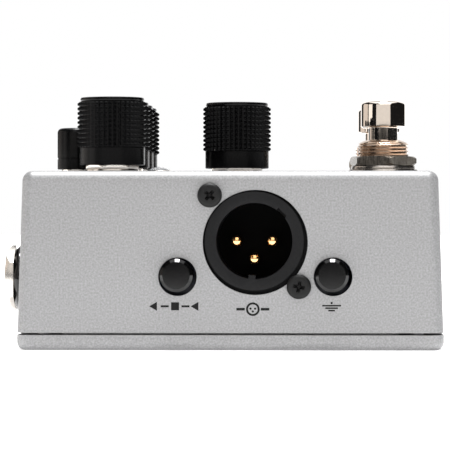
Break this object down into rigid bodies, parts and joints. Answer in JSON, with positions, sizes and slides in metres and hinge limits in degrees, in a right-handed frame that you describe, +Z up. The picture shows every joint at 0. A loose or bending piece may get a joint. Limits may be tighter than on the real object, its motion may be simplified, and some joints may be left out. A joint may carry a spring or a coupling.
{
  "type": "direct injection box",
  "caption": "Die-cast direct injection box with control knobs, foot switches, push buttons, quarter-inch jacks and a three-pin audio output.",
  "frame": {"origin": "centre of the base plate's underside", "axes": "+X across the box, away from the jack wall; +Y from the three-pin connector end to the far end; +Z up"},
  "size_m": [0.0946, 0.1223, 0.0555],
  "materials": {
    "battery_wrap": "printed wrap",
    "black_housing": "fine moulded grain",
    "black_insert": "moulded",
    "black_washer": "moulded",
    "black_zinc_screw": "black oxide",
    "brushed_nut": "brushed nickel",
    "button_black": "glossy",
    "chrome_button": "polished",
    "circuit_board": "solder mask",
    "clear_lens": "clear epoxy",
    "component_black": "moulded",
    "enclosure_paint": "silver-grey sparkle paint, satin",
    "foam_grey": "open cell foam",
    "gold_contact": "gold plated",
    "knob_black": "semi-gloss knurled",
    "lead_black": "insulation",
    "lid_paint": "silver-grey sparkle paint, satin",
    "nickel_hardware": "nickel plated",
    "pointer_white": "inlaid",
    "pot_case_metal": "stamped",
    "shaft_metal": "turned",
    "spring_steel": "drawn wire",
    "steel_screw": "zinc plated",
    "switch_body": "moulded"
  },
  "bodies": {
    "case": {"base_plate": "lid_paint", "base_screws": "steel_screw", "battery": "battery_wrap", "battery_foam": "foam_grey", "battery_snap": "component_black", "board_parts": "component_black", "dc_socket_body": "component_black", "dc_socket_pin": "nickel_hardware", "enclosure_shell": "enclosure_paint", "foot_bushings": "nickel_hardware", "foot_dress_washers": "nickel_hardware", "foot_lock_washers": "nickel_hardware", "foot_nuts": "brushed_nut", "foot_spring_front": "spring_steel", "foot_spring_rear": "spring_steel", "foot_switch_bodies": "switch_body", "foot_switch_lugs": "nickel_hardware", "hookup_leads": "lead_black", "jack_bodies": "component_black", "jack_bushings": "nickel_hardware", "jack_contacts": "spring_steel", "jack_nuts": "nickel_hardware", "jack_washers": "black_washer", "led_bezel": "nickel_hardware", "led_lens": "clear_lens", "main_board": "circuit_board", "pot_board": "circuit_board", "pot_cases": "pot_case_metal", "pot_nuts": "nickel_hardware", "pot_washers": "nickel_hardware", "push_switches": "switch_body", "small_pot_case": "pot_case_metal", "small_pot_nut": "nickel_hardware", "xlr_housing": "black_housing", "xlr_insert": "black_insert", "xlr_pins": "gold_contact", "xlr_screws": "black_zinc_screw"},
    "dial_front_left": {"knob_front_left": "knob_black", "knob_pointer_front_left": "pointer_white", "pot_shaft_front_left": "shaft_metal"},
    "dial_second_left": {"knob_second_left": "knob_black", "knob_pointer_second_left": "pointer_white", "pot_shaft_second_left": "shaft_metal"},
    "dial_third_left": {"knob_third_left": "knob_black", "knob_pointer_third_left": "pointer_white", "pot_shaft_third_left": "shaft_metal"},
    "dial_rear_left": {"knob_rear_left": "knob_black", "knob_pointer_rear_left": "pointer_white", "pot_shaft_rear_left": "shaft_metal"},
    "dial_centre": {"knob_centre": "knob_black", "knob_pointer_centre": "pointer_white", "pot_shaft_centre": "shaft_metal"},
    "dial_small": {"small_knob": "knob_black", "small_pot_shaft": "shaft_metal"},
    "foot_press_front": {"foot_button_front": "chrome_button"},
    "foot_press_rear": {"foot_button_rear": "chrome_button"},
    "push_left": {"push_cap_left": "button_black", "push_plunger_left": "switch_body"},
    "push_right": {"push_cap_right": "button_black", "push_plunger_right": "switch_body"}
  },
  "joints": [
    {"name": "turn_front_left", "type": "hinge", "parent": "case", "child": "dial_front_left", "pos_m": [-0.0261, -0.043, 0.0382], "axis": [0, 0, 1], "range_deg": [-150, 150]},
    {"name": "turn_second_left", "type": "hinge", "parent": "case", "child": "dial_second_left", "pos_m": [-0.0261, -0.026, 0.0382], "axis": [0, 0, 1], "range_deg": [-150, 150]},
    {"name": "turn_third_left", "type": "hinge", "parent": "case", "child": "dial_third_left", "pos_m": [-0.0261, -0.009, 0.0382], "axis": [0, 0, 1], "range_deg": [-150, 150]},
    {"name": "turn_rear_left", "type": "hinge", "parent": "case", "child": "dial_rear_left", "pos_m": [-0.0261, 0.008, 0.0382], "axis": [0, 0, 1], "range_deg": [-150, 150]},
    {"name": "turn_centre", "type": "hinge", "parent": "case", "child": "dial_centre", "pos_m": [0.0006, -0.023, 0.0382], "axis": [0, 0, 1], "range_deg": [-150, 150]},
    {"name": "turn_small", "type": "hinge", "parent": "case", "child": "dial_small", "pos_m": [-0.0346, -0.0345, 0.0382], "axis": [0, 0, 1], "range_deg": [-150, 150]},
    {"name": "press_foot_front", "type": "slide", "parent": "case", "child": "foot_press_front", "axis": [0, 0, 1], "range_m": [-0.0025, 0], "stiffness_N_per_m": 3000, "springref_m": 0.001, "deforming": ["foot_spring_front"]},
    {"name": "press_foot_rear", "type": "slide", "parent": "case", "child": "foot_press_rear", "axis": [0, 0, 1], "range_m": [-0.0025, 0], "stiffness_N_per_m": 3000, "springref_m": 0.001, "deforming": ["foot_spring_rear"]},
    {"name": "press_push_left", "type": "slide", "parent": "case", "child": "push_left", "axis": [0, 1, 0], "range_m": [0, 0.0018], "stiffness_N_per_m": 800, "springref_m": -0.0005},
    {"name": "press_push_right", "type": "slide", "parent": "case", "child": "push_right", "axis": [0, 1, 0], "range_m": [0, 0.0018], "stiffness_N_per_m": 800, "springref_m": -0.0005}
  ]
}
